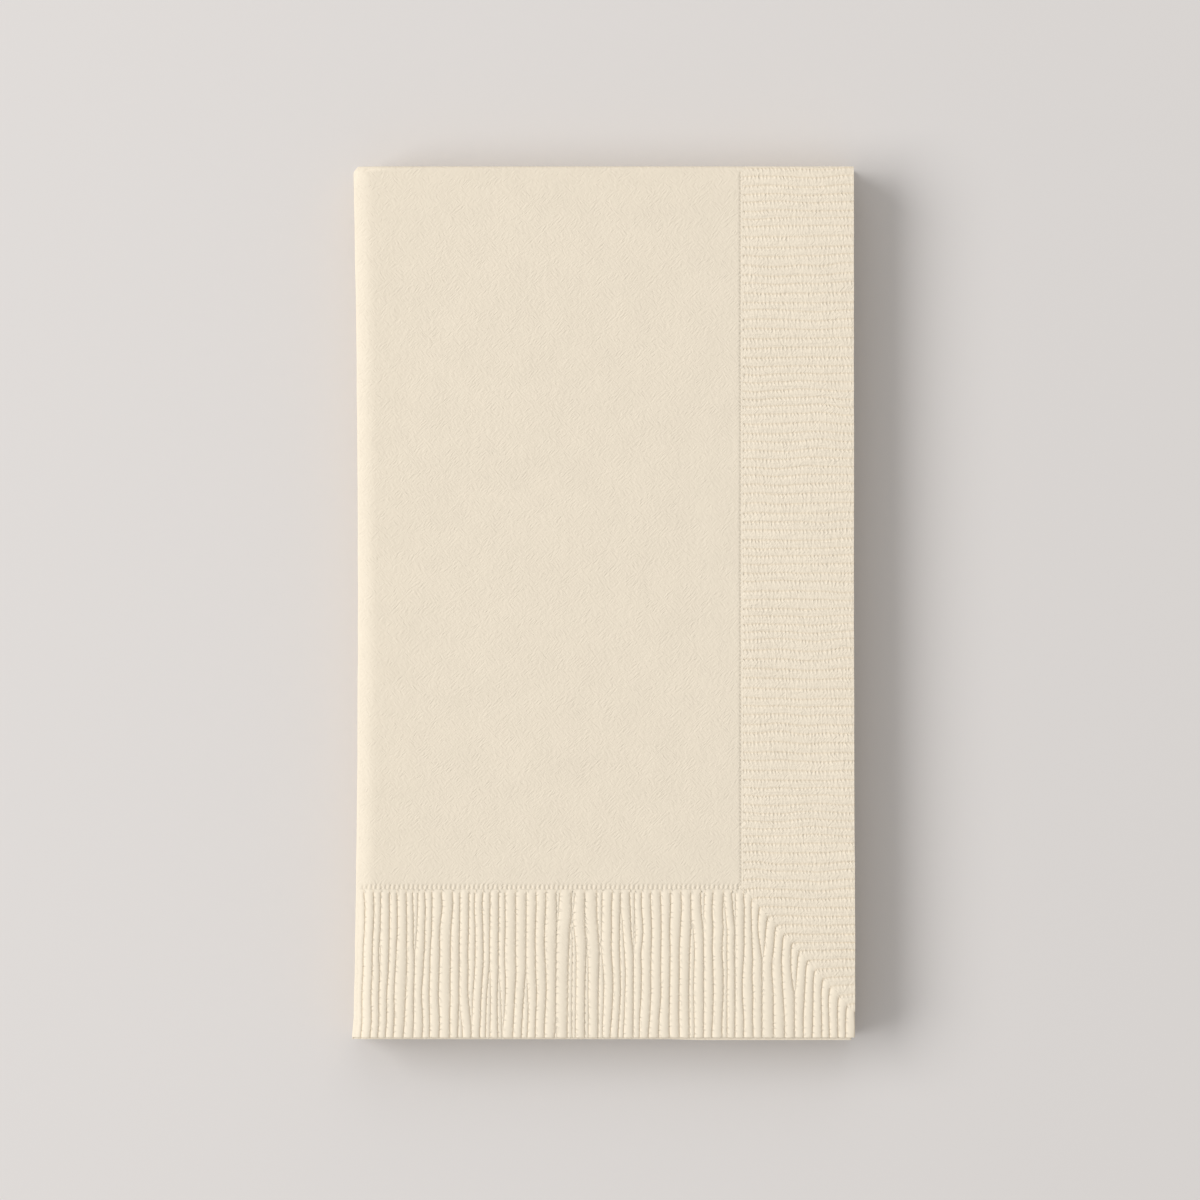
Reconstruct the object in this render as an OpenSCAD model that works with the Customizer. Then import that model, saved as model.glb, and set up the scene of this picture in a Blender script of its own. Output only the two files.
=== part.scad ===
// A stack of folded paper guest towels.
// Each towel is one sheet: folded in thirds across its width, then in half across its length.
// The loose edges are at the front (-Y) and the right (+X), and the folds at the left and the back.
// Origin: middle of the stack, on the surface that it lies on. +Y points to the cross fold.

/* [Folded towel] */
// Width of a folded towel, from its left fold to its loose right edge
folded_w = 114.5; // [90:0.5:160]
// Length of a folded towel, from its cross fold to the loose edge of its outer layer
folded_l = 199.2; // [140:0.4:260]
// Thickness of the sheet
sheet_t = 0.25; // [0.22:0.01:0.4]
// Air between two layers of a towel
layer_gap = 0.08; // [0.08:0.01:0.15]
// How far the fold inside a towel stays back from the loose right edge
fold_inset = 0.8; // [0.4:0.1:4]
// How far the tucked-in panel stays back from the left fold
tuck = 1.6; // [0.4:0.1:6]
// How far each inner layer reaches past the next layer out, at the loose front edges
edge_step = 0.3; // [0:0.05:1]

/* [Pressed border] */
// Depth of the ribbed band along the front edge
front_band = 33.8; // [16:0.2:60]
// Width of the ribbed band along the right edge
side_band = 25.4; // [10:0.2:40]
// Height above the front edge at which the mitre reaches the right edge
corner_rise = 5.4; // [1:0.2:12]
// Spacing of the ribs in the front band
front_pitch = 2.08; // [1.6:0.04:4]
// Spacing of the ribs in the side band
side_pitch = 2.04; // [1.6:0.04:4]
// How far a groove may lie from its even place
rib_wander = 0.3; // [0:0.02:0.34]
// Width of a groove between two ribs
groove_w = 0.95; // [0.4:0.05:1]
// Depth of a groove
groove_d = 0.17; // [0.05:0.01:0.18]
// Gap between the side band and the dotted line beside it
line_offset = 0.5; // [0.3:0.1:3]

/* [Stack] */
// Furthest that a towel lies sideways from the middle of the stack
drift = 0.25; // [0:0.05:2]

/* [Hidden] */
NODES = [
    "towel_01", "towel_02", "towel_03", "towel_04",
    "towel_05", "towel_06", "towel_07", "towel_08"
];
$fn = 48;

// Layers of one half of a towel, counted from its middle: 0 the middle panel, 1 the tucked-in one, 2 the outer one
layer_pitch = sheet_t + layer_gap;
half_h = layer_gap / 2 + 3 * sheet_t + 2 * layer_gap;
towel_h = 2 * half_h;
left_bend_r = (3 * sheet_t + 2 * layer_gap) / 2;
right_bend_r = (2 * sheet_t + layer_gap) / 2;
left_bend_x = left_bend_r - folded_w / 2;
right_bend_x = folded_w / 2 - fold_inset - right_bend_r;
// Length of the middle panel drawn from each of its folds: over half, so that both run into each other
middle_run = 0.7 * folded_w;

// Lines that the border is laid out from
cross_fold_y = folded_l / 2 - half_h;
front_y = -folded_l / 2;
right_x = folded_w / 2;
corner_x = right_x - side_band;
corner_y = front_y + front_band;
mitre_slope = (front_band - corner_rise) / side_band;
front_count = floor((folded_w - side_band) / front_pitch);
side_count = floor((cross_fold_y - corner_y) / side_pitch);
corner_count = floor(front_band / side_pitch);
// How far a cut runs on past the paper
over = 1;
// How far the two arms of a corner groove run past the mitre, into each other
lap = 0.1;

paper = [0.91, 0.87, 0.79];
last = len(NODES) - 1;

function layer_z(layer) = layer_gap / 2 + layer * layer_pitch;
function mitre_y(x) = corner_y - mitre_slope * (x - corner_x);

// Places of the grooves, each a little off its even place: left of the corner, above it, and those that turn it
function front_x(i) = corner_x - i * front_pitch + rib_wander * sin(137 * i);
function side_y(i) = corner_y + (i + 1) * side_pitch + rib_wander * sin(101 * i);
function corner_groove_y(i) = corner_y - (i + 1) * side_pitch + rib_wander * sin(59 * i);
function corner_groove_x(i) = corner_x + (corner_y - corner_groove_y(i)) / mitre_slope;

// One flat panel of the section, with height along x and the width of the towel along y
module panel(layer, from_x, to_x) {
    translate([layer_z(layer), from_x]) square([sheet_t, to_x - from_x]);
}

// Section of a strip folded at its left: half a ring round the origin, with a panel on each end of it
module bent_strip(r, low_l, high_l) {
    difference() {
        circle(r = r);
        circle(r = r - sheet_t);
        translate([-2 * r, 0]) square([4 * r, 2 * r]);
    }
    translate([-r, 0]) square([sheet_t, low_l]);
    translate([r - sheet_t, 0]) square([sheet_t, high_l]);
}

// Section through the upper half of a towel: one strip of paper, folded in thirds
module section() {
    translate([layer_z(0) + left_bend_r, left_bend_x])
        bent_strip(left_bend_r, middle_run, right_x - left_bend_x);
    translate([layer_z(0) + right_bend_r, right_bend_x]) mirror([0, 1])
        bent_strip(right_bend_r, middle_run, right_bend_x - left_bend_x - tuck);
}

// Runs a section from the line of the cross fold towards the front
module run(length) {
    mirror([0, 1, 0]) rotate([0, -90, -90]) linear_extrude(height = length) children();
}

module half_sheet() {
    straight_l = cross_fold_y - front_y;
    run(straight_l) section();
    run(straight_l + edge_step) panel(1, left_bend_x + tuck, right_bend_x);
    run(straight_l + 2 * edge_step) panel(0, left_bend_x, right_bend_x);
}

// The whole folded sheet, before its border is pressed
module folded_sheet() {
    translate([0, cross_fold_y, 0]) {
        half_sheet();
        mirror([0, 0, 1]) half_sheet();
        rotate([0, 90, 0]) rotate_extrude(angle = 180) section();
    }
}

// Section of a groove, with its mouth on the face of the sheet
module groove_section(width) {
    polygon([
        [-0.5 * width, 0], [-0.5 * width, over], [0.5 * width, over], [0.5 * width, 0],
        [0.2 * width, -0.55 * groove_d], [0, -groove_d], [-0.2 * width, -0.55 * groove_d]
    ]);
}

module groove_along_y(x, to_y, width) {
    translate([x, to_y, half_h]) rotate([90, 0, 0]) linear_extrude(height = to_y - front_y + over)
        groove_section(width);
}

module groove_along_x(y, width) {
    translate([corner_x, y, half_h]) rotate([90, 0, 90]) linear_extrude(height = side_band + over)
        groove_section(width);
}

module front_grooves() {
    for (i = [0 : front_count]) groove_along_y(front_x(i), corner_y, groove_w);
}

module side_grooves() {
    for (i = [0 : side_count - 1]) groove_along_x(side_y(i), groove_w);
}

// The grooves that turn the corner, cut off past the mitre: across is true for their arm along x
module corner_grooves(across) {
    far_x = right_x + over;
    shift = across ? -lap : lap;
    intersection() {
        for (i = [0 : corner_count - 1]) if (corner_groove_x(i) < right_x - groove_w) {
            if (across) groove_along_x(corner_groove_y(i), groove_w);
            else groove_along_y(corner_groove_x(i), corner_y, groove_w / mitre_slope);
        }
        linear_extrude(height = half_h + over) polygon([
            [corner_x, corner_y + shift], [far_x, mitre_y(far_x) + shift],
            across ? [far_x, corner_y] : [far_x, front_y - over],
            across ? [corner_x, corner_y] : [corner_x, front_y - over]
        ]);
    }
}

module border() {
    front_grooves();
    side_grooves();
    corner_grooves(true);
    corner_grooves(false);
    dotted_line();
}

// The line between the plain panel and the side band
module dotted_line() {
    x = corner_x - line_offset - groove_w / 2;
    translate([x, cross_fold_y, half_h]) rotate([90, 0, 0]) linear_extrude(height = cross_fold_y - corner_y)
        groove_section(groove_w);
}

module towel(index) {
    color(paper) difference() {
        folded_sheet();
        border();
        if (index == 0) mirror([0, 0, 1]) border();
    }
}

// Each towel lies a little off the one below, and the top one lies square
module laid_towel(index) {
    loose = index < last ? 1 : 0;
    translate([
        loose * drift * sin(137 * index + 60), loose * drift * cos(101 * index + 30),
        index * towel_h + half_h
    ]) towel(index);
}

for (index = [0 : last]) laid_towel(index);
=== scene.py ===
"""A stack of folded paper guest towels with a pressed, ribbed border.

Each towel is one sheet. It is laid out flat, cut into triangles there, and folded by a formula: in thirds
across its width, then in half across its length. Lengths are in millimetres until a mesh is made.
"""

import math

import bpy
import numpy as np
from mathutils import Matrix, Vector
from mathutils.geometry import delaunay_2d_cdt


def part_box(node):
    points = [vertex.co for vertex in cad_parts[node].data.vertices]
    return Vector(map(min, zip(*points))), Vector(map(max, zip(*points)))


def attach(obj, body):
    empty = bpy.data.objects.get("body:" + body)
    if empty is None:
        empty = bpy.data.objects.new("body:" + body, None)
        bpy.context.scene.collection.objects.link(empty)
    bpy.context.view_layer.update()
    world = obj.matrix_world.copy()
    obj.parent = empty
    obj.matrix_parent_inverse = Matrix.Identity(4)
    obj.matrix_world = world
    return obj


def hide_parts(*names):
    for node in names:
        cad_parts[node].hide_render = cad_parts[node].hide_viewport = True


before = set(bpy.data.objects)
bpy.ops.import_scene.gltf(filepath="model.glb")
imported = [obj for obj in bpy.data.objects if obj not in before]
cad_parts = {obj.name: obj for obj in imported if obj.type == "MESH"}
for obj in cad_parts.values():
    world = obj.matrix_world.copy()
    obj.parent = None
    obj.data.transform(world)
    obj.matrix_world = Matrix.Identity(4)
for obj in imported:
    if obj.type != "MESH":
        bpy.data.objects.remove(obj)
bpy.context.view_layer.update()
MM = 0.001

# Sheet and folds
SHEET_T = 0.25
LAYER_PITCH = 0.33
TUCK = 1.6
FOLD_INSET = 0.8
EDGE_STEP = 0.3

# Layout of the border
FRONT_BAND = 33.8
SIDE_BAND = 25.4
CORNER_RISE = 5.4
FRONT_PITCH = 2.08
SIDE_PITCH = 2.02
NOTCH_PITCH = 1.08
NOTCH_L = 1.5
LINE_OFFSET = 0.5
# Spacing of the beads in a side groove and of the dots in the line, and of the ties across a front groove
BEAD_PITCH = 0.92
TIE_PITCH = 1.9
# Points across a rib, as shares of its width: at its grooves, in short steps along them, and on its crest
GROOVE_SHARES = (0, 0.08, 0.93)
CREST_SHARES = (0.2, 0.45, 0.68, 0.85)

# How deep the border is pressed: the front grooves, the side grooves, the narrow place in each side rib
# beside the dotted line, that line, and the notches
PRESS = 0.34
SIDE_PRESS = 0.19
WAIST_PRESS = 0.12
LINE_PRESS = 0.11
NOTCH_PRESS = 0.24
# Share of a rib's width at which it is highest, and how far its gentle right flank falls before the groove
PEAK = 0.45
FALL = 0.14

# Width of the round of the left fold, how far it drops the outer face, and how much more each towel sags
# there than the one below
ROLL_W = 4.4
ROLL_DROP = 0.42
SAG = 0.11
# How far the outer face drops at the cross fold
CROSS_DROP = 0.07
# How far an inner layer reaches past the outer one at the front, and how much further in its right part
PEEK = 0.42
PEEK_MORE = 0.2
# How far the left fold is bowed in at its middle, set in at its back end and spread at its front end
BOW = 1.05
BACK_INSET = 0.85
FRONT_FLARE = 0.35
# How far the loose right edge stands out towards the front
RIGHT_SPREAD = 0.28
# Closer than this, two places on the open sheet are one
TINY = 1e-6

# Photograph: 1200 pixels wide, seen from straight above
PX_PER_MM = 4.375
PX_MIDDLE = 600
CAMERA_X = -0.79
CAMERA_Y = 0.4

# Colour and light
PAPER_COLOUR = (0.83, 0.737, 0.597)
# The second colour is a darker, warmer tone painted as shade into grooves, pits, dots and notches
SHADE_PAINT_COLOUR = (0.79, 0.68, 0.525)
FLOOR_COLOUR = (0.72, 0.69, 0.672)
LIGHT = 0.945
KEY_SHARE = 0.425
BACK_SHARE = 0.06


def from_photo(px, py):
    """Place on the top towel, in millimetres, of a pixel of the photograph."""
    return (px - PX_MIDDLE) / PX_PER_MM + CAMERA_X, (PX_MIDDLE - py) / PX_PER_MM + CAMERA_Y


# Pixel columns between which the ribs of the front band lie in groups. Each group keeps its width.
GROUP_ENDS = (395, 440, 545, 612, 670)
# Ribs of the front band that don't run its whole height: pixel column, the rows where one starts and ends
# (0 for the band's own edge), and its width in millimetres. They were read off the photograph.
SHORT_RIBS = [
    (374, 931, 975, 0.6), (412, 0, 957, 1.2), (415, 928, 960, 0.5), (459, 1001, 0, 1.2), (471, 0, 1029, 1.4),
    (492, 962, 0, 1.0), (498, 968, 0, 0.8), (506, 0, 1035, 1.4), (524, 970, 0, 1.4), (561, 1018, 0, 0.7),
    (565, 0, 926, 1.0), (569, 913, 0, 1.0), (573, 0, 920, 0.9), (577, 911, 0, 0.9), (580, 918, 942, 0.5),
    (592, 0, 952, 1.2), (590, 942, 0, 0.8), (588, 994, 1008, 0.5), (600, 937, 0, 1.2), (624, 905, 0, 1.1),
    (631, 0, 952, 1.1), (636, 910, 957, 0.6), (692, 915, 0, 1.0), (699, 0, 932, 0.9), (720, 893, 0, 1.0),
    (728, 0, 930, 0.9), (734, 930, 969, 0.6),
]
# Pixels where a rib that turns the corner runs out
LOST_RIBS = [(763, 961), (794, 995)]


def smooth(t):
    """Eased step from 0 to 1."""
    t = np.clip(t, 0, 1)
    return t * t * (3 - 2 * t)


def opening(t):
    """From 0 to 1, at once at first and then eased, as two grooves part."""
    return 1 - (1 - np.clip(t, 0, 1)) ** 2


def noise(seed, x, y=0.0):
    """Smooth noise from -1 to 1 that changes over a distance of about 1."""
    table = np.random.default_rng(seed).uniform(-1, 1, (64, 64))
    x, y = np.broadcast_arrays(np.asarray(x, float), np.asarray(y, float))
    i, j = np.floor(x).astype(int), np.floor(y).astype(int)
    s, t = smooth(x - i), smooth(y - j)
    low = table[i % 64, j % 64] * (1 - s) + table[(i + 1) % 64, j % 64] * s
    high = table[i % 64, (j + 1) % 64] * (1 - s) + table[(i + 1) % 64, (j + 1) % 64] * s
    return low * (1 - t) + high * t


def rib_at(lines, place):
    """Which rib each place is on, how far across it from 0 to 1, and its width. lines has a row for each."""
    rows = np.arange(len(place))
    index = np.clip((lines <= place[:, None]).sum(axis=1) - 1, 0, lines.shape[1] - 2)
    low, high = lines[rows, index], lines[rows, index + 1]
    width = np.maximum(high - low, 0.01)
    return index, np.clip((place - low) / width, 0, 1), width


class Towel:
    """Sizes of one folded towel, its border's grooves, and the formula that folds it."""

    def __init__(self, node, number):
        """number counts the towels from 0, the lowest."""
        low, high = (np.array(c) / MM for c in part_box(node))
        self.number = number
        self.seed = 20 * number + 11
        self.width, length, height = high - low
        self.half_h = height / 2
        # The CAD's inner layers reach past the outer one at the front
        self.length = length - 2 * EDGE_STEP
        self.middle = (low + high) / 2 + np.array([0, EDGE_STEP, 0])
        self.right = self.width / 2
        self.front = -self.length / 2
        self.fold_y = self.length / 2 - self.half_h
        self.corner = (self.right - SIDE_BAND, self.front + FRONT_BAND)
        self.slope = (FRONT_BAND - CORNER_RISE) / SIDE_BAND
        self.lay_out_panels()
        self.lay_out_grooves()

    def lay_out_panels(self):
        """Where each panel and bend lies along the width of the open sheet, from the loose right edge."""
        self.level = [self.half_h - SHEET_T / 2 - (2 - i) * LAYER_PITCH for i in range(3)]
        self.bend_l = (self.level[2] - self.level[0]) / 2
        self.bend_r = (self.level[1] - self.level[0]) / 2
        self.left_x = -self.right + self.bend_l + SHEET_T / 2
        self.right_x = self.right - FOLD_INSET - self.bend_r - SHEET_T / 2
        lengths = [
            self.right - self.left_x, math.pi * self.bend_l, self.right_x - self.left_x,
            math.pi * self.bend_r, self.right_x - self.left_x - TUCK,
        ]
        self.stops = np.concatenate([[0], np.cumsum(lengths)])
        self.half_v = self.fold_y - self.front + math.pi / 2 * self.level[2]

    def lay_out_grooves(self):
        rng = np.random.default_rng(self.seed)
        count = int(FRONT_BAND / SIDE_PITCH)
        steps = SIDE_PITCH * (1 + 0.1 * rng.uniform(-1, 1, count))
        self.turned_y = self.corner[1] - np.cumsum(steps)
        self.turned_x = self.corner[0] + (self.corner[1] - self.turned_y) / self.slope
        kept = self.turned_x < self.right - 1.0
        self.turned_x, self.turned_y = self.turned_x[kept], self.turned_y[kept]
        self.turned = np.concatenate([[self.corner[0]], self.turned_x, [self.right + 0.3]])
        count = int((self.fold_y - self.corner[1]) / SIDE_PITCH) + 3
        steps = SIDE_PITCH * (1 + 0.17 * rng.uniform(-1, 1, count))
        above = self.corner[1] + np.concatenate([[0], np.cumsum(steps)])
        self.side_y = np.concatenate([[self.turned_y[-1] - SIDE_PITCH], self.turned_y[::-1], above])
        group_ends = [from_photo(px, 0)[0] for px in GROUP_ENDS]
        self.group_x = np.array([-self.right, *group_ends, self.corner[0]])
        ribs = []
        for low, high in zip(self.group_x[:-1], self.group_x[1:]):
            short = [(from_photo(px, 0)[0], w, top, end) for px, top, end, w in SHORT_RIBS]
            short = [r for r in short if low < r[0] < high]
            taken = sum(width * (0.1 if top and end else 0.5) for _, width, top, end in short)
            count = max(2, round((high - low - taken) / FRONT_PITCH))
            centres = low + (np.arange(count) + 0.5) * (high - low) / count
            whole = [(x, FRONT_PITCH * (1 + 0.2 * rng.uniform(-1, 1)), None, None) for x in centres]
            ribs.append(sorted(short + whole, key=lambda r: r[0]))
        self.groups = ribs

    def mitre_y(self, x):
        return self.corner[1] - self.slope * (x - self.corner[0])

    def group_lines(self, ribs, low, high, y):
        """Grooves of one group at each y, from its low end to just before its high one."""
        widths = np.empty((len(y), len(ribs)))
        whole = np.array([r[2] is None for r in ribs])
        place = np.array([r[0] for r in ribs])
        for i, (_, width, top, end) in enumerate(ribs):
            widths[:, i] = width
            if top is not None:
                taper = 6 + 7 * width
                if top:
                    widths[:, i] *= opening((from_photo(0, top)[1] - y) / taper)
                if end:
                    widths[:, i] *= opening((y - from_photo(0, end)[1]) / taper)
        widths[:, whole] *= (high - low) / widths[0, whole].sum()
        for i in np.nonzero(~whole)[0]:
            near = np.exp(-(((place[whole] - place[i]) / 4.5) ** 2))
            widths[:, whole] -= widths[:, i : i + 1] * near / near.sum()
        widths[:, whole] = np.maximum(widths[:, whole], 0.7)
        left = high - low - widths[:, ~whole].sum(axis=1)
        widths[:, whole] *= (left / widths[:, whole].sum(axis=1))[:, None]
        return low + np.concatenate([np.zeros((len(y), 1)), np.cumsum(widths, axis=1)[:, :-1]], axis=1)

    def front_lines(self, y):
        """Places along x of the front band's grooves at each y: one row for each y."""
        y = np.atleast_1d(y)
        parts = [self.group_lines(*g, y) for g in zip(self.groups, self.group_x[:-1], self.group_x[1:])]
        widths = np.repeat(np.diff(self.turned)[None, :], len(y), axis=0)
        for px, py in LOST_RIBS:
            x, end = from_photo(px, py)
            rib = int(np.argmin(np.abs((self.turned[1:] + self.turned[:-1]) / 2 - x)))
            lost = widths[:, rib] * (1 - opening((y - end) / 10))
            widths[:, rib] -= lost
            near = [i for i in range(rib - 3, rib + 4) if i != rib and 0 <= i < widths.shape[1]]
            widths[:, near] += lost[:, None] / len(near)
        corner = self.corner[0] + np.cumsum(widths, axis=1)
        lines = np.concatenate(parts + [np.full((len(y), 1), self.corner[0]), corner], axis=1)
        i = np.arange(lines.shape[1])[None, :]
        y = y[:, None]
        straight = np.full(lines.shape[1] - len(self.turned_x) - 1, self.corner[0])
        starts = np.concatenate([straight, self.turned_x, self.turned[-1:]])
        fade = smooth((self.mitre_y(starts) - y + 0.4) / 5)
        sway = 0.34 * noise(self.seed + 1, i / 2.7, y / 11) + 0.13 * noise(self.seed + 2, i * 1.7, y / 5)
        gap = np.diff(lines, axis=1)
        before = np.pad(gap, ((0, 0), (1, 0)), mode="edge")
        after = np.pad(gap, ((0, 0), (0, 1)), mode="edge")
        room = np.minimum(before, after)
        return np.maximum.accumulate(lines + sway * fade * np.clip(room / 1.6, 0, 1), axis=1)

    def side_lines(self, x):
        """Places along y of the side band's grooves at each x: one row for each x."""
        x = np.atleast_1d(x)[:, None]
        i = np.arange(len(self.side_y))[None, :]
        start = np.full(len(self.side_y), self.corner[0])
        start[1 : len(self.turned_x) + 1] = self.turned_x[::-1]
        fade = smooth((x - start) / 5)
        sway = 0.5 * noise(self.seed + 3, i / 5.3, x / 8) + 0.22 * noise(self.seed + 4, i / 1.7, x / 5)
        sway += 0.05 * noise(self.seed + 5, i * 1.9, x / 2.2)
        return self.side_y + sway * fade

    def in_front(self, x, y):
        return (y < self.corner[1]) & (y < self.mitre_y(np.maximum(x, self.corner[0])))

    def in_side(self, x, y):
        return (x > self.corner[0]) & ~self.in_front(x, y) & (y < self.fold_y)

    def front_relief(self, x, y):
        _, t, width = rib_at(self.front_lines(y), x)
        crest = np.minimum(1, (width / 1.9) ** 0.9)
        left = PRESS * (1 - (1 - t / PEAK) ** 2)
        right = (PRESS - FALL * ((t - PEAK) / (1 - PEAK)) ** 2) * smooth((1 - t) / 0.14)
        depth = PRESS - crest * np.where(t < PEAK, left, right)
        top = smooth((y - self.corner[1] + 0.35 + 0.7 * np.abs(2 * t - 1) ** 3) / 0.6)
        depth = depth * (1 - top) + 0.16 * top
        return depth * self.fold_fade(x)

    def side_relief(self, x, y):
        _, t, _ = rib_at(self.side_lines(x), y)
        soft = 0.72 + 0.28 * noise(self.seed + 6, x / 7, y / 8)
        turned = smooth((self.corner[1] + 3 - y) / 6)
        ends = np.abs(2 * t - 1)
        depth = (SIDE_PRESS + 0.07 * turned) * soft * ends**2.6
        waist = x - self.corner[0] - 1.4
        depth += WAIST_PRESS * np.exp(-((waist / 0.34) ** 2)) * (1 - ends**2) * (y > self.corner[1])
        start = smooth(1 - (x - self.corner[0]) / 0.6) * (y > self.corner[1])
        depth = depth * (1 - start) + (0.05 + 0.13 * ends**2) * start
        return depth * smooth((self.fold_y - y) / 0.5)

    def panel_relief(self, x, y):
        depth = 0.03 + 0.03 * noise(self.seed + 7, x / 9, y / 11)
        line = self.corner[0] - LINE_OFFSET
        half_w = np.where(x < line, 0.28, 0.4)
        run = (y > self.corner[1]) * smooth((self.fold_y - y) / 1.2)
        depth = depth + LINE_PRESS * np.exp(-(((x - line) / half_w) ** 2)) * run
        up = (y - self.corner[1]) / NOTCH_L
        off = np.abs((x / NOTCH_PITCH) % 1 - 0.5) * NOTCH_PITCH
        drop = smooth((1 - up) / 0.5) * smooth((up + 0.2) / 0.3) * (up < 1)
        return depth + NOTCH_PRESS * np.exp(-((off / 0.26) ** 2)) * drop * (x < line) * self.fold_fade(x)

    def fold_fade(self, x):
        """The pressed border fades out on the bend of the left fold."""
        return smooth((x - self.left_x - 0.3) / 1.4)

    def roll(self, x):
        """1 at the left fold, falling to 0 a few millimetres in."""
        return np.clip(1 - (x + self.right) / ROLL_W, 0, 1) ** 2

    def roll_off(self, x, y):
        """How far the outer face drops towards the two folds."""
        return ROLL_DROP * self.roll(x) + CROSS_DROP * smooth((y - self.fold_y + 1.2) / 2.2)

    def relief(self, x, y):
        """How deep the outer face is pressed at each place."""
        depth = self.panel_relief(x, y)
        for inside, press in ((self.in_front, self.front_relief), (self.in_side, self.side_relief)):
            mask = inside(x, y)
            if mask.any():
                depth[mask] = press(x[mask], y[mask])
        return depth + self.roll_off(x, y)

    def hidden_relief(self, x, y):
        """How deep the layers under the outer face are pressed: as deep as its deepest groove, and even."""
        across = smooth((x - self.corner[0] + 4) / 2.5)
        along = smooth((self.corner[1] + NOTCH_L + 2.5 - y) / 2.5) * self.fold_fade(x)
        band = np.maximum(across, along)
        return 0.08 + (PRESS - 0.06) * band + self.roll_off(x, y)

    def inner_relief(self, x, y, edge):
        """Relief of a face under the outer one: even, but with that one's ribs close to a loose edge."""
        near = 1 - smooth((edge - 0.5) / 0.6)
        depth = self.hidden_relief(x, y)
        mask = near > 0
        if mask.any():
            depth[mask] = depth[mask] * (1 - near[mask]) + self.relief(x[mask], y[mask]) * near[mask]
        return depth

    def fold(self, u, v, side):
        """Place of a point of the open sheet: side is 1 on the outer face, -1 on the inner one."""
        s = self.stops
        lift = side * SHEET_T / 2
        part = np.clip(np.searchsorted(s, u, side="right") - 1, 0, 4)
        d = u - s[part]
        turn_l, turn_r = d / self.bend_l, d / self.bend_r
        x = np.choose(part, [
            self.right - d, self.left_x - (self.bend_l + lift) * np.sin(turn_l), self.left_x + d,
            self.right_x + (self.bend_r + lift) * np.sin(turn_r), self.right_x - d,
        ])
        centre_l, centre_r = self.level[0] + self.bend_l, self.level[0] + self.bend_r
        radius = np.choose(part, [
            self.level[2] + lift, centre_l + (self.bend_l + lift) * np.cos(turn_l), self.level[0] - lift,
            centre_r - (self.bend_r + lift) * np.cos(turn_r), self.level[1] + lift,
        ])
        middle = np.choose(part, [
            self.level[2], centre_l + self.bend_l * np.cos(turn_l), self.level[0],
            centre_r - self.bend_r * np.cos(turn_r), self.level[1],
        ])
        arc = math.pi / 2 * middle
        inner = smooth((self.level[2] - middle) / LAYER_PITCH)
        peek = inner * (PEEK + PEEK_MORE * smooth((x - 14) / 8))
        reach = self.fold_y - self.front + peek
        past = np.maximum(np.abs(v) - arc, 0) / (self.half_v - arc) * reach
        angle = np.clip(v / middle, -math.pi / 2, math.pi / 2)
        y = self.fold_y + radius * np.cos(angle) - past
        return x, y, -radius * np.sin(angle)

    def shape(self, u, v, side):
        """Final place of a point of the sheet, with its border pressed and its folds as soft as paper's."""
        x, y, z = self.fold(u, v, side)
        outer = (u <= self.stops[1] + TINY) & (side > 0)
        depth = np.empty_like(x)
        depth[outer] = self.relief(x[outer], y[outer])
        edge = np.where(u <= self.stops[1] + TINY, np.minimum(self.half_v - np.abs(v), u), 9)
        depth[~outer] = self.inner_relief(x[~outer], y[~outer], edge[~outer])
        bend = (u > self.stops[1]) & (side > 0)
        depth[bend] -= 0.05 * (1 - smooth((u[bend] - self.stops[1]) / 1.2))
        z = z * (1 - np.minimum(depth, 0.6 * self.half_h) / self.half_h)
        x, y = self.draw_corners(x, y)
        z = z - self.number * SAG * self.roll(x)
        return np.stack([self.soften(x, y), y, z], axis=1) + self.middle

    def draw_corners(self, x, y):
        """Draws the corners of the ribs out along the mitre."""
        off = np.abs(self.mitre_y(x) - y) * math.cos(math.atan(self.slope))
        turned = (x > self.corner[0] - 0.5) & (y < self.corner[1] + 0.5)
        cut = 0.2 * np.exp(-((off / 0.6) ** 2)) * turned * smooth((self.right - x) / 2)
        return x + cut, y - cut

    def soften(self, x, y):
        """Moves points sideways, as the folds and the loose right edge of soft paper lie."""
        bow = BOW * (1 - (y / (self.length / 2)) ** 2)
        share = (x + self.right) / self.width
        at_fold = np.clip(1 - share, 0, 1) ** 12
        back_end = smooth((y - self.fold_y + 0.6) / 1.6)
        front_end = np.exp(-(((y - self.front) / 2.2) ** 2))
        x = x + at_fold * (BACK_INSET * back_end - FRONT_FLARE * front_end)
        x = x + bow * (1 - share) ** 2 + 0.06 * noise(self.seed + 8, y / 6) * (1 - share) ** 4
        return x + share**2 * (RIGHT_SPREAD * smooth(-y / 90) + 0.05 * noise(self.seed + 9, y / 5))

    def flat_of(self, x, y, half):
        """Place on the open sheet of a point of the outer panel, in the upper half (-1) or the lower (1)."""
        return np.stack([self.right - x, half * (self.fold_y - y + math.pi / 2 * self.level[2])], axis=1)


def between(low, high, step):
    """Even places from low to high, no more than about step apart."""
    return np.linspace(low, high, max(1, round((high - low) / step)) + 1)


def grid(xs, ys):
    x, y = np.meshgrid(xs, ys)
    return np.stack([x.ravel(), y.ravel()], axis=1)


def rib_points(lines, along, shares, swap):
    """Points on a band's ribs: each row of lines has the grooves' places at one place along them."""
    low, high = lines[:, :-1], lines[:, 1:]
    found = []
    for share in shares:
        place = low + (high - low) * share
        keep = high - low > (0.06 if share == 0 else 0.3)
        pair = np.stack([place[keep], np.broadcast_to(along[:, None], place.shape)[keep]], axis=1)
        found.append(pair[:, ::-1] if swap else pair)
    return np.concatenate(found)


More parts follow.
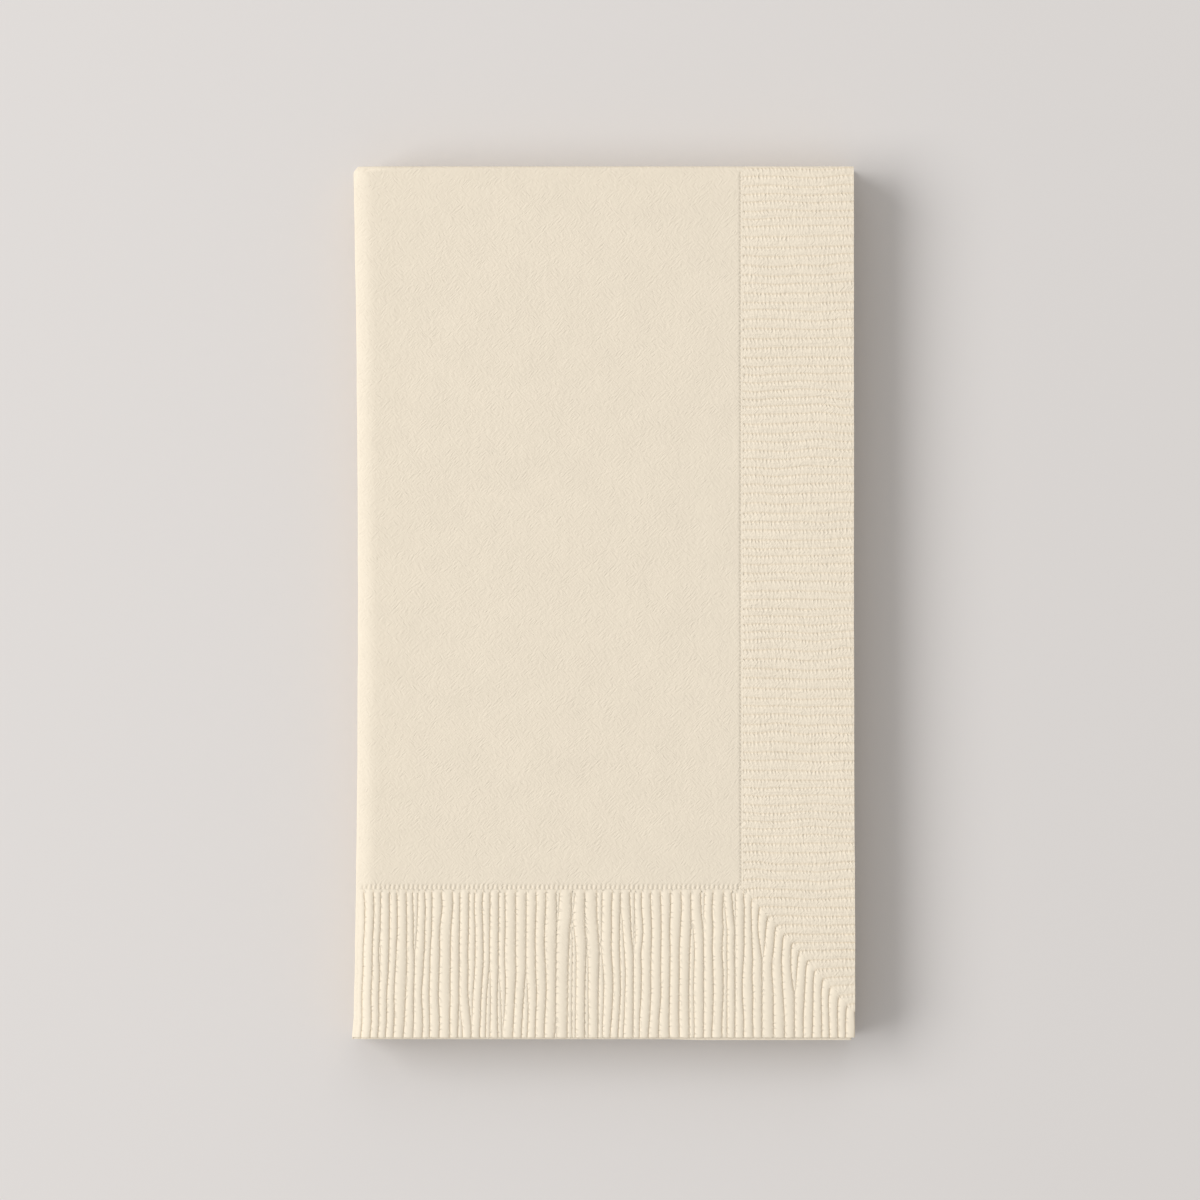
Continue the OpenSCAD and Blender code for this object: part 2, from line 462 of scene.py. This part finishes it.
def border_points(towel, front_reach, side_reach):
    """Points on the pressed border, as far from the two loose edges as the reaches say."""
    corner_x, corner_y = towel.corner
    top = min(corner_y - 0.05, towel.front + front_reach)
    start = max(corner_x + 0.05, towel.right - side_reach)
    gap = 0.12
    found = []
    for step, shares in ((0.4, GROOVE_SHARES), (0.8, CREST_SHARES)):
        ys = between(towel.front, top, step)[1:]
        points = rib_points(towel.front_lines(ys), ys, shares, False)
        x, y = points.T
        front = (y <= top) & ((x < corner_x) | (y < towel.mitre_y(x) - gap))
        found.append(points[front & (x > towel.left_x + 0.1) & (x < towel.right - 0.1)])
        xs = between(start, towel.right, 1.3 * step)[:-1]
        points = rib_points(towel.side_lines(xs), xs, shares, True)
        x, y = points.T
        found.append(points[(x >= start) & (y > towel.mitre_y(x) + gap) & (y < towel.fold_y - 0.15)])
    ends = np.stack([towel.turned_x, towel.turned_y], axis=1)
    steps = np.linspace(0, 1, 9)[:-1, None]
    mitre = np.concatenate([a + (b - a) * steps for a, b in zip(ends[:-1], ends[1:])])
    return np.concatenate(found + [mitre[(mitre[:, 0] > start) | (mitre[:, 1] < top)]])


def panel_points(towel):
    """Points on the plain panel, closer at the left fold, on the dotted line and in the row of notches."""
    corner_x, corner_y = towel.corner
    roll = towel.left_x + 4
    line = corner_x - LINE_OFFSET
    row_top = corner_y + NOTCH_L + 0.2
    last_y = towel.fold_y - 0.5
    return np.concatenate([
        grid(between(roll, line - 0.9, 1.3), between(row_top + 0.5, last_y, 1.3)),
        grid(between(towel.left_x + 0.3, roll - 0.4, 0.4), between(towel.front + 1, last_y, 1.6)),
        grid(line + np.array([-0.6, -0.3, -0.12, 0.12, 0.3, 0.45]), between(corner_y + 0.1, last_y, 0.5)),
        grid(between(towel.left_x + 0.2, line - 0.5, NOTCH_PITCH / 4), between(corner_y, row_top, 0.3)),
    ])


class Flat:
    """The open sheet of a towel: the places of its points, on each face."""

    def __init__(self, towel, fine):
        self.towel = towel
        s = towel.stops
        step = 3.6 if fine else 5.0
        arc = math.pi / 2 * towel.level[2]
        turns = between(0, arc, arc / (10 if fine else 5))
        far = between(arc, towel.half_v, step)[1:]
        self.rows = np.concatenate([-far[::-1], -turns[:0:-1], turns, far])
        bend_l = between(s[1], s[2], (s[2] - s[1]) / (10 if fine else 6))
        bend_r = between(s[3], s[4], (s[4] - s[3]) / 6)
        self.columns = np.concatenate([
            between(0, s[1], 2 * step)[:-1], bend_l, between(s[2], s[3], 2 * step)[1:-1],
            bend_r, between(s[4], s[5], 2 * step)[1:],
        ])
        self.bends = np.concatenate([bend_l, bend_r])
        self.turns = np.concatenate([-turns[:0:-1], turns])
        self.arc = arc
        self.edges = self.make_edges(bend_l, bend_r)

    def make_edges(self, bend_l, bend_r):
        """The sheet's four edges. Both faces share their points."""
        towel, s = self.towel, self.towel.stops
        lines = towel.front_lines(np.array([towel.front]))
        shares = sorted(GROOVE_SHARES + CREST_SHARES)
        xs = rib_points(lines, np.array([towel.front]), shares, False)[:, 0]
        outer = towel.right - xs[(xs > towel.left_x + 0.1) & (xs < towel.right - 0.1)]
        inside = xs[(xs > towel.left_x + 0.1) & (xs < towel.right_x - 0.1)]
        tucked = inside[inside > towel.left_x + TUCK + 0.1]
        along = np.concatenate([
            [0], outer, bend_l, s[2] + inside - towel.left_x, bend_r, s[4] + towel.right_x - tucked, [s[5]],
        ])
        along = np.unique(along.round(5))
        lines = towel.side_lines(np.array([towel.right]))
        ys = rib_points(lines, np.array([towel.right]), shares, True)[:, 1]
        ys = ys[(ys > towel.front + 0.1) & (ys < towel.fold_y - 0.1)]
        upper = towel.flat_of(np.full_like(ys, towel.right), ys, -1)[:, 1]
        up = np.unique(np.concatenate([self.turns, upper, -upper]).round(5))
        v = towel.half_v
        ends = [grid(along, [-v]), grid(along, [v])]
        return np.concatenate(ends + [grid([0], up), grid([s[5]], self.rows[1:-1])])

    def strips(self):
        """Rows of points just inside the front edges of the panels under the outer one."""
        towel, s = self.towel, self.towel.stops
        lines = towel.front_lines(np.array([towel.front]))
        xs = rib_points(lines, np.zeros(1), (0, 0.25, 0.5, 0.75), False)[:, 0]
        xs = xs[(xs > towel.left_x + TUCK + 0.2) & (xs < towel.right_x - 0.2)]
        us = np.concatenate([s[2] + xs - towel.left_x, s[4] + towel.right_x - xs])
        vs = towel.half_v - np.array([0.5, 1.2])
        return np.concatenate([grid(us, vs), grid(us, -vs)])

    def face(self, detail):
        """Points and triangles of one face. detail lists the halves (-1, 1) that have their whole border."""
        towel, s = self.towel, self.towel.stops
        base = grid(self.columns[1:-1], self.rows[1:-1])
        u, v = base.T
        on_outer = (u < s[1] - TINY) & (np.abs(v) > self.arc + TINY)
        near_end = np.abs(v) > towel.half_v - 2
        points = [self.edges, base[~on_outer & (~near_end | np.isin(u, self.bends))], self.strips()]
        for half in (-1, 1):
            if half in detail:
                flat = np.concatenate([border_points(towel, 99, 99), panel_points(towel)])
            else:
                flat = border_points(towel, 1.25, 1.25)
                points.append(base[on_outer & (v * half > 0) & (u > 2) & ~near_end])
            points.append(towel.flat_of(flat[:, 0], flat[:, 1], half))
        return triangulate(np.concatenate(points), self.chains())

    def chains(self):
        """Fold lines, which the triangles may not cross."""
        lines = [[(u, r) for r in self.rows] for u in self.bends]
        lines += [[(u, r) for u in self.columns] for r in self.turns]
        return lines


def triangulate(points, chains):
    """Constrained triangulation of points in a rectangle: its points and its triangles."""
    keys = {}
    places = []

    def key(point):
        k = (round(point[0], 5), round(point[1], 5))
        if k not in keys:
            keys[k] = len(places)
            places.append(Vector(k))
        return keys[k]

    for point in points.tolist():
        key(point)
    edges = []
    for chain in chains:
        ids = [key(point) for point in chain]
        edges += list(zip(ids[:-1], ids[1:]))
    made = delaunay_2d_cdt(places, edges, [], 0, 1e-5)
    return np.array([tuple(p) for p in made[0]]), np.array(made[2])


def rim(flat, towel):
    """Indices of a face's points along the sheet's four edges, in order round it."""
    u, v = flat.T
    wide, far = towel.stops[5], towel.half_v
    near = 1e-4
    sides = [
        (np.abs(v + far) < near, u),
        (np.abs(u - wide) < near, v),
        (np.abs(v - far) < near, -u),
        (u < near, -v),
    ]
    order = []
    for mask, by in sides:
        found = np.nonzero(mask)[0]
        order += list(found[np.argsort(by[found])][:-1])
    return np.array(order)


def rib_counts(lines, place):
    """Number of ribs from the first groove to each place, with its part."""
    index, across, _ = rib_at(lines, place)
    return index + across


def add_border_data(mesh, towel, u, v, outer):
    """Gives the shader each point's place on the flat panel, and its place among the ribs of both bands."""
    x = np.where(outer, towel.right - u, -999)
    y = np.where(outer, towel.fold_y - (np.abs(v) - math.pi / 2 * towel.level[2]), 999)
    ribs = np.zeros((len(u), 3))
    near = outer & (y < towel.corner[1] + 3) & (x > towel.left_x - 1)
    ribs[near, 0] = rib_counts(towel.front_lines(y[near]), x[near])
    near = outer & (x > towel.corner[0] - 12)
    ribs[near, 1] = rib_counts(towel.side_lines(x[near]), y[near])
    for name, data in (("ribs", ribs), ("flat", np.stack([x, y, outer.astype(float)], axis=1))):
        mesh.attributes.new(name, "FLOAT_VECTOR", "POINT").data.foreach_set("vector", data.ravel())


def make_towel(node, number, outer_detail):
    towel = Towel(node, number)
    flat = Flat(towel, bool(outer_detail))
    top, top_tris = flat.face(outer_detail)
    under, under_tris = flat.face(())
    points = np.concatenate([towel.shape(top[:, 0], top[:, 1], 1), towel.shape(under[:, 0], under[:, 1], -1)])
    ring_a, ring_b = rim(top, towel), rim(under, towel) + len(top)
    if len(ring_a) != len(ring_b):
        raise ValueError(f"{node}: the two faces have {len(ring_a)} and {len(ring_b)} edge points")
    faces = top_tris[:, ::-1].tolist() + (under_tris + len(top)).tolist()
    faces += np.stack([ring_a, np.roll(ring_a, -1), np.roll(ring_b, -1), ring_b], axis=1).tolist()
    mesh = bpy.data.meshes.new("folded_" + node)
    mesh.from_pydata((points * MM).tolist(), [], faces)
    mesh.shade_smooth()
    mesh.set_sharp_from_angle(angle=math.radians(55))
    uv = np.concatenate([top, under])
    outer = (uv[:, 0] <= towel.stops[1] + TINY) & (np.arange(len(uv)) < len(top))
    add_border_data(mesh, towel, uv[:, 0], uv[:, 1], outer)
    piece = bpy.data.objects.new("folded_" + node, mesh)
    bpy.context.scene.collection.objects.link(piece)
    return piece


def simple_material(name, colour, roughness):
    material = bpy.data.materials.new(name)
    material.use_nodes = True
    shader = material.node_tree.nodes["Principled BSDF"]
    shader.inputs["Base Color"].default_value = (*colour, 1)
    shader.inputs["Roughness"].default_value = roughness
    return material


class Value:
    """A number in a shader. Arithmetic on it adds Math nodes to the tree in hand."""

    tree = None

    def __init__(self, socket):
        self.socket = socket

    def __add__(self, other):
        return math_node("ADD", self, other)

    __radd__ = __add__

    def __sub__(self, other):
        return math_node("SUBTRACT", self, other)

    def __rsub__(self, other):
        return math_node("SUBTRACT", other, self)

    def __mul__(self, other):
        return math_node("MULTIPLY", self, other)

    __rmul__ = __mul__

    def __truediv__(self, other):
        return math_node("DIVIDE", self, other)

    def __gt__(self, other):
        return math_node("GREATER_THAN", self, other)

    def __lt__(self, other):
        return math_node("LESS_THAN", self, other)


def connect(value, slot):
    if isinstance(value, Value):
        Value.tree.links.new(value.socket, slot)
    else:
        slot.default_value = value


def math_node(operation, *inputs):
    node = Value.tree.nodes.new("ShaderNodeMath")
    node.operation = operation
    for value, slot in zip(inputs, node.inputs):
        connect(value, slot)
    return Value(node.outputs[0])


def parts_of(vector):
    """The three parts of a vector in a shader."""
    split = Value.tree.nodes.new("ShaderNodeSeparateXYZ")
    connect(vector, split.inputs[0])
    return [Value(socket) for socket in split.outputs]


def attribute(name):
    node = Value.tree.nodes.new("ShaderNodeAttribute")
    node.attribute_name = name
    return parts_of(Value(node.outputs["Vector"]))


def join(x, y, z=0.0):
    node = Value.tree.nodes.new("ShaderNodeCombineXYZ")
    for value, slot in zip((x, y, z), node.inputs):
        connect(value, slot)
    return Value(node.outputs[0])


def noise_node(vector, scale, detail=2.0, roughness=0.5, warp=0.0):
    """Noise from 0 to 1, mostly near 0.5."""
    node = Value.tree.nodes.new("ShaderNodeTexNoise")
    connect(vector, node.inputs["Vector"])
    for name, value in (("Scale", scale), ("Detail", detail), ("Roughness", roughness), ("Distortion", warp)):
        node.inputs[name].default_value = value
    return Value(node.outputs["Fac"])


def hump(distance, width):
    """1 where the distance is 0, falling to 0 past the width on both sides."""
    share = distance / width
    return math_node("EXPONENT", share * share * -1.0)


def random_of(number):
    node = Value.tree.nodes.new("ShaderNodeTexWhiteNoise")
    node.noise_dimensions = "1D"
    connect(number, node.inputs["W"])
    return Value(node.outputs["Value"])


def marks(along, groove, pitch, length, shift=0.0):
    """Row of short marks along a groove, 1 in the middle of each. Each groove starts its row elsewhere."""
    count = along / pitch + random_of(groove) * 9.0 + shift
    return hump((math_node("FRACT", count) - 0.5) * pitch, length)


def side_marks(x, side_count, wander):
    """Pits and beads along the grooves of the side band, and a mask for the shade painted along each groove,
    a little behind it.
    """
    groove = math_node("ROUND", side_count)
    off = (side_count - groove) * SIDE_PITCH
    along = x + off * 0.3 + wander * 1.1
    pits = marks(along, groove, BEAD_PITCH, 0.16) * hump(off, 0.22)
    beads = marks(along, groove, BEAD_PITCH, 0.2, 0.5) * hump(off + 0.22, 0.45)
    return pits, beads, hump(off - 0.1, 0.22)


def front_marks(y, front_count, wander):
    """Ties across the grooves of the front band, and a mask for the shade painted along each groove, on the
    rib's right flank, which faces away from the light.
    """
    groove = math_node("ROUND", front_count)
    off = (front_count - groove) * FRONT_PITCH
    along = y + off * 0.5 + wander * 4.0
    return marks(along, groove, TIE_PITCH, 0.24) * hump(off - 0.06, 0.34), hump(off + 0.12, 0.2)


def line_marks(towel, x, y, wander):
    """Dots of the line beside the side band, and the rows between which it runs."""
    corner_x, corner_y = towel.corner
    off = x - (corner_x - LINE_OFFSET)
    dots = marks(y + off * 0.4 + wander * 0.6, 0.5, BEAD_PITCH, 0.2) * hump(off, 0.26)
    return dots, (y > corner_y) * (y < (towel.fold_y - 0.2))


def notch_marks(towel, x, y):
    """Notches above the front band, which fade away from it."""
    up = (y - towel.corner[1]) / NOTCH_L
    off = (math_node("FRACT", x / NOTCH_PITCH) - 0.5) * NOTCH_PITCH
    return hump(off, 0.22) * (1.0 - up) * (up > 0.05) * (up < 1.0)


def crossed_strands(place):
    """Fine strands of pressed paper, which run one way in some spots and across in others."""
    px, py, pz = (part * 1000.0 for part in parts_of(place))
    rise, fall = px + py, px - py
    one_way = noise_node(join(rise * 1.9, fall * 0.5, pz * 1.9), 1.0, 1.5, 0.5, 0.5) - 0.5
    other_way = noise_node(join(rise * 0.5, fall * 1.9, pz * 1.9), 1.0, 1.5, 0.5, 0.5) - 0.5
    choice = math_node("MULTIPLY_ADD", noise_node(place, 330.0, 1.0) - 0.5, 6.0, 0.5)
    choice = math_node("MINIMUM", math_node("MAXIMUM", choice, 0.0), 1.0)
    return one_way * choice + other_way * (1.0 - choice)


def paper_material(towel):
    """Soft ivory tissue. Its grain and the beads, ties and dots along grooves are bump. Ribs are mesh. Shade
    is painted into its colour along the grooves and in the pits, dots and notches, and painted light makes
    the bands and beads lighter.
    """
    material = bpy.data.materials.new("ivory_tissue")
    material.use_nodes = True
    tree = Value.tree = material.node_tree
    shader = tree.nodes["Principled BSDF"]
    place = Value(tree.nodes.new("ShaderNodeTexCoord").outputs["Object"])

    x, y, outer = attribute("flat")
    front_count, side_count, _ = attribute("ribs")
    corner_x, corner_y = towel.corner
    below_mitre = (y + (x - corner_x) * towel.slope) < corner_y
    front = outer * (y < corner_y) * below_mitre
    side = outer * (x > corner_x) * (1.0 - below_mitre)
    panel = outer * (x < corner_x) * (y > corner_y)
    wander = noise_node(join(x, y), 0.45, 1.0) - 0.5
    strength = noise_node(join(x, y), 0.28, 2.0) * 2.0
    edge_fade = x < (towel.right - 0.4)

    pits, beads, groove = side_marks(x, side_count, wander)
    side_pits = pits * side * strength * edge_fade
    side_beads = beads * side * strength * edge_fade
    side_groove_shade = groove * side
    ties, groove = front_marks(y, front_count, wander)
    front_ties = ties * front
    front_groove_shade = groove * front
    dots, reach = line_marks(towel, x, y, wander)
    line_pits = dots * outer * reach
    drops = notch_marks(towel, x, y) * panel

    wrinkle = noise_node(join(x * 1.6, y * 0.3), 1.0, 2.0, 0.55, 0.4) - 0.5
    ripple = noise_node(join(x * 0.2, y * 1.4), 1.0, 2.0, 0.5, 0.6) - 0.5
    grain = noise_node(place, 2600.0, 2.0, 0.6)
    cloud = noise_node(place, 130.0, 2.0)
    height = grain * 0.03 + crossed_strands(place) * (1.0 - front * 0.8) * 0.17 + cloud * 0.1
    height = height + side * (wrinkle * 0.14 + ripple * 0.2)
    height = height - side_pits * 0.02 + side_beads * 0.085 + front_ties * 0.14
    height = height - line_pits * 0.09 - drops * 0.06
    bump = tree.nodes.new("ShaderNodeBump")
    bump.inputs["Strength"].default_value = 1.0
    bump.inputs["Distance"].default_value = MM
    connect(height, bump.inputs["Height"])
    tree.links.new(bump.outputs["Normal"], shader.inputs["Normal"])

    patches = noise_node(place, 150.0, 3.0, 0.6)
    # Scale on the colour: patches of tone at random, and painted light: the bands a little lighter, a painted
    # highlight on each bead, and painted shade and light across the side band's ripples
    tone_and_painted_light = (patches - 0.5) * 0.08 + front * 0.03 + side * (ripple * 0.1 + 0.04) + side_beads * 0.05 + 1.0
    # Painted shade: the colour is mixed towards the darker one along the grooves, in the pits, in the line's
    # dots and in the notches
    deep = side_pits * 0.3 + side_groove_shade * 0.8 + line_pits * 0.6 + front_groove_shade * 0.9 + drops * 0.4
    mix = tree.nodes.new("ShaderNodeMix")
    mix.data_type = "RGBA"
    mix.inputs["A"].default_value = (*PAPER_COLOUR, 1)
    mix.inputs["B"].default_value = (*SHADE_PAINT_COLOUR, 1)
    connect(deep, mix.inputs["Factor"])
    colour = tree.nodes.new("ShaderNodeVectorMath")
    colour.operation = "SCALE"
    tree.links.new(mix.outputs["Result"], colour.inputs[0])
    connect(tone_and_painted_light, colour.inputs["Scale"])
    tree.links.new(colour.outputs["Vector"], shader.inputs["Base Color"])
    shader.inputs["Roughness"].default_value = 0.72
    shader.inputs["Specular IOR Level"].default_value = 0.5
    return material


def make_floor():
    mesh = bpy.data.meshes.new("floor")
    half = 3.0
    corners = [(-half, -half, 0), (half, -half, 0), (half, half, 0), (-half, half, 0)]
    mesh.from_pydata(corners, [], [(0, 1, 2, 3)])
    floor = bpy.data.objects.new("floor", mesh)
    bpy.context.scene.collection.objects.link(floor)
    floor.data.materials.append(simple_material("pale_plaster", FLOOR_COLOUR, 0.95))


def make_camera(top_node):
    """Looks straight down on the top towel, which fills as much of the picture as in the photograph."""
    data = bpy.data.cameras.new("camera")
    camera = bpy.data.objects.new("camera", data)
    bpy.context.scene.collection.objects.link(camera)
    distance = 1.2
    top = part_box(top_node)[1][2]
    camera.location = (CAMERA_X * MM, CAMERA_Y * MM, top + distance)
    data.sensor_width = 36
    data.lens = data.sensor_width * distance / (2 * PX_MIDDLE / PX_PER_MM * MM)
    data.clip_end = 10
    bpy.context.scene.camera = camera


def add_lamp(name, share, size, rise, side):
    """A soft lamp with its share of the floor's light. rise is its height, side its way round from -X."""
    data = bpy.data.lights.new(name, "AREA")
    data.shape = "ELLIPSE"
    distance = 3.0
    data.size, data.size_y = size
    data.energy = share * LIGHT * 4 * math.pi * distance**2 / math.sin(rise)
    lamp = bpy.data.objects.new(name, data)
    bpy.context.scene.collection.objects.link(lamp)
    way = Vector((-math.cos(rise) * math.cos(side), math.cos(rise) * math.sin(side), math.sin(rise)))
    lamp.location = way * distance
    lamp.rotation_euler = way.to_track_quat("Z", "Y").to_euler()


def make_light():
    """A soft key from the left, whose shadow falls to the right, a weak lamp at the back, and even light."""
    add_lamp("key", KEY_SHARE, (3.0, 1.9), math.radians(41), math.radians(6))
    add_lamp("back", BACK_SHARE, (2.4, 2.4), math.radians(45), math.radians(90))
    world = bpy.data.worlds.new("studio")
    world.use_nodes = True
    background = world.node_tree.nodes["Background"]
    background.inputs["Color"].default_value = (1, 0.995, 0.985, 1)
    background.inputs["Strength"].default_value = (1 - KEY_SHARE - BACK_SHARE) * LIGHT
    bpy.context.scene.world = world
    bpy.context.scene.view_settings.view_transform = "Standard"


names = sorted(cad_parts)
make_camera(names[-1])
make_floor()
make_light()
paper = paper_material(Towel(names[-1], len(names) - 1))
for number, node in enumerate(names):
    detail = [half for half, shown in ((-1, number == len(names) - 1), (1, number == 0)) if shown]
    piece = make_towel(node, number, detail)
    piece.data.materials.append(paper)
    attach(piece, "root")
    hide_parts(node)
